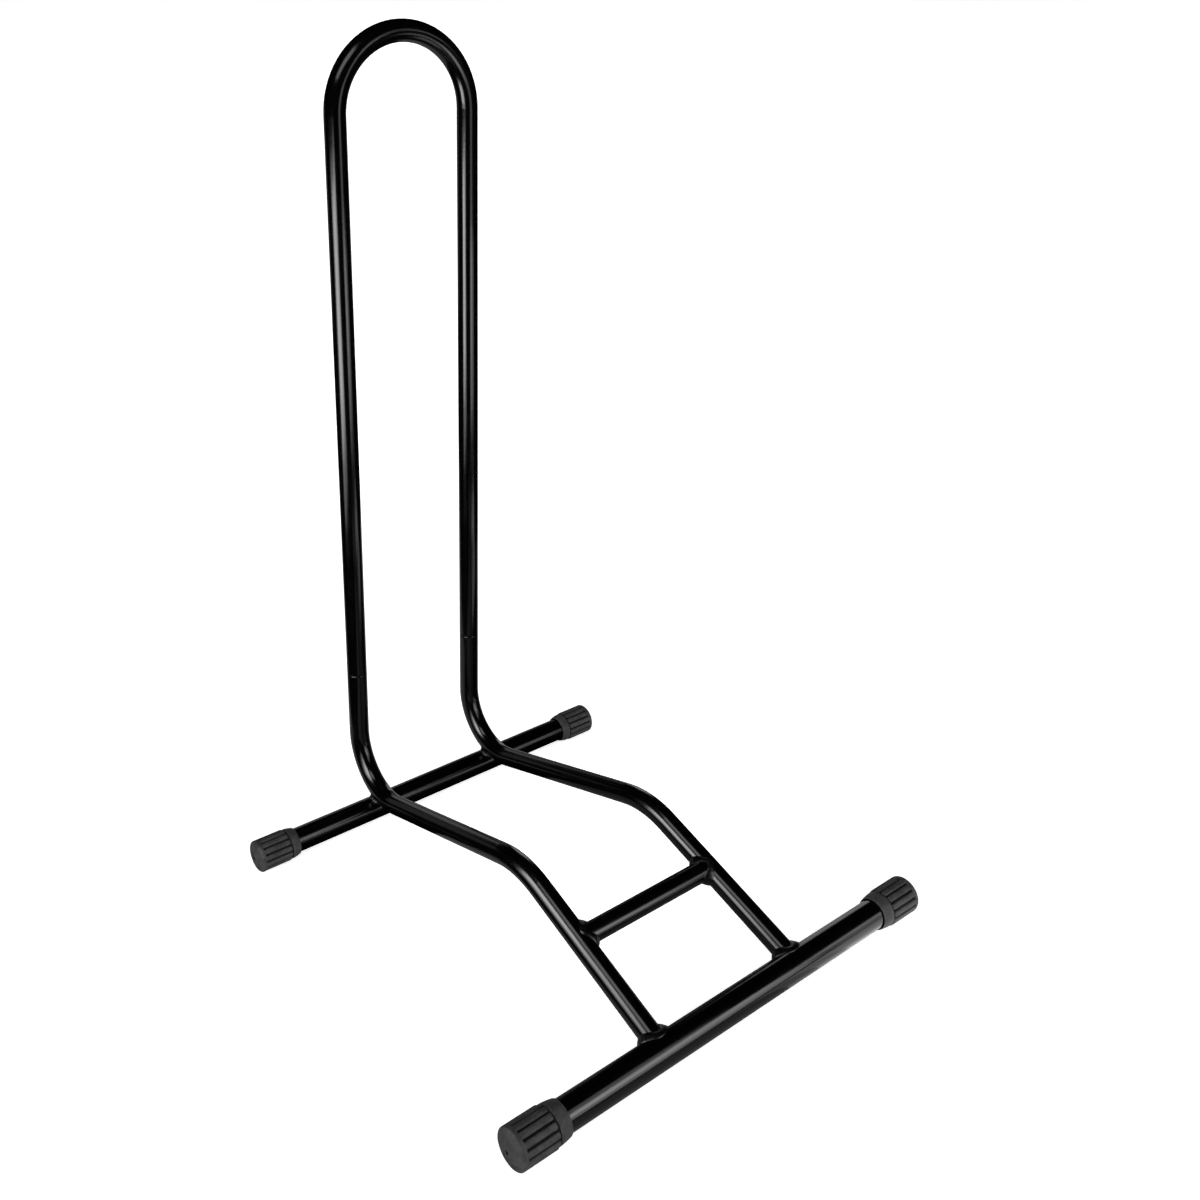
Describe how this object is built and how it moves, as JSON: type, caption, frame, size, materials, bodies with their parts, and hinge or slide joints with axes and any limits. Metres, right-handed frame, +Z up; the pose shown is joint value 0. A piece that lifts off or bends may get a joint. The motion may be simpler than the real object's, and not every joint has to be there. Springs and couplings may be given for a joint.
{
  "type": "floor bike rack",
  "caption": "Tubular floor stand that holds one bicycle wheel upright between a tall plug-in hoop and two bent rails on capped crossbars.",
  "frame": {"origin": "middle of the outer box, on the floor under the caps", "axes": "+Z up, +X to the rack's right across the crossbars, -Y to the front where the ramp and the thicker crossbar are"},
  "size_m": [0.4236, 0.4586, 0.7194],
  "materials": {
    "gloss_paint": "gloss",
    "painted_weld": "gloss",
    "cap_rubber": "matte"
  },
  "bodies": {
    "base": {"left_side_rail": "gloss_paint", "right_side_rail": "gloss_paint", "cross_rung": "gloss_paint", "rear_crossbar": "gloss_paint", "front_crossbar": "gloss_paint", "rear_cap_left": "cap_rubber", "rear_cap_right": "cap_rubber", "front_cap_left": "cap_rubber", "front_cap_right": "cap_rubber", "weld_rear_left": "painted_weld", "weld_rear_right": "painted_weld", "weld_front_left": "painted_weld", "weld_front_right": "painted_weld", "weld_rung_left": "painted_weld", "weld_rung_right": "painted_weld"},
    "hoop": {"upper_hoop": "gloss_paint"}
  },
  "joints": [
    {"name": "hoop_lift", "type": "slide", "parent": "base", "child": "hoop", "axis": [0, -0.0541, 0.9985], "range_m": [0, 0.06]}
  ]
}
